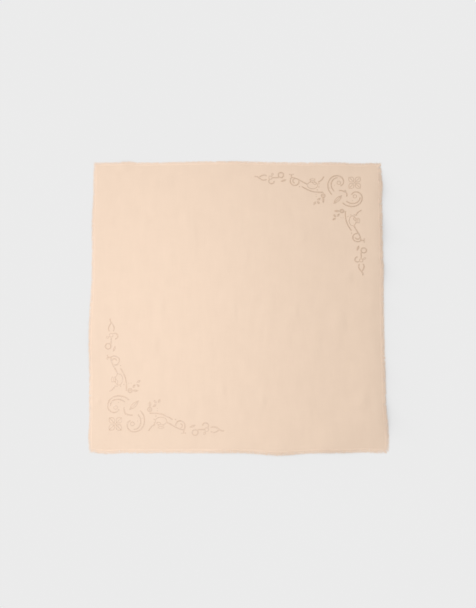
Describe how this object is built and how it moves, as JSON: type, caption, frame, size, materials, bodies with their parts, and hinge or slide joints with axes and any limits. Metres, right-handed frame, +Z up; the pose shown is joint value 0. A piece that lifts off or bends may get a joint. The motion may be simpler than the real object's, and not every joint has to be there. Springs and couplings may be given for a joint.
{
  "type": "rhinestone scarf",
  "caption": "Square scarf of light peach plain-weave cloth laid flat, with a short frayed fringe along its edges and rhinestone scroll and paisley ornaments in opposite corners.",
  "frame": {"origin": "on the surface the scarf lies on, at the middle of its outline", "axes": "+Z up, square to the cloth; +X towards the right edge; +Y towards the far edge"},
  "size_m": [1.1076, 1.1068, 0.0075],
  "materials": {
    "cloth": "light plain weave with small slubs, matt with a faint sheen",
    "fringe": "loose frayed yarn ends, matt",
    "rhinestone": "small faceted champagne stones with a mirrored back"
  },
  "bodies": {
    "root": {"cloth": "cloth", "fringe_left": "fringe", "fringe_right": "fringe", "fringe_near": "fringe", "fringe_far": "fringe"}
  },
  "joints": []
}
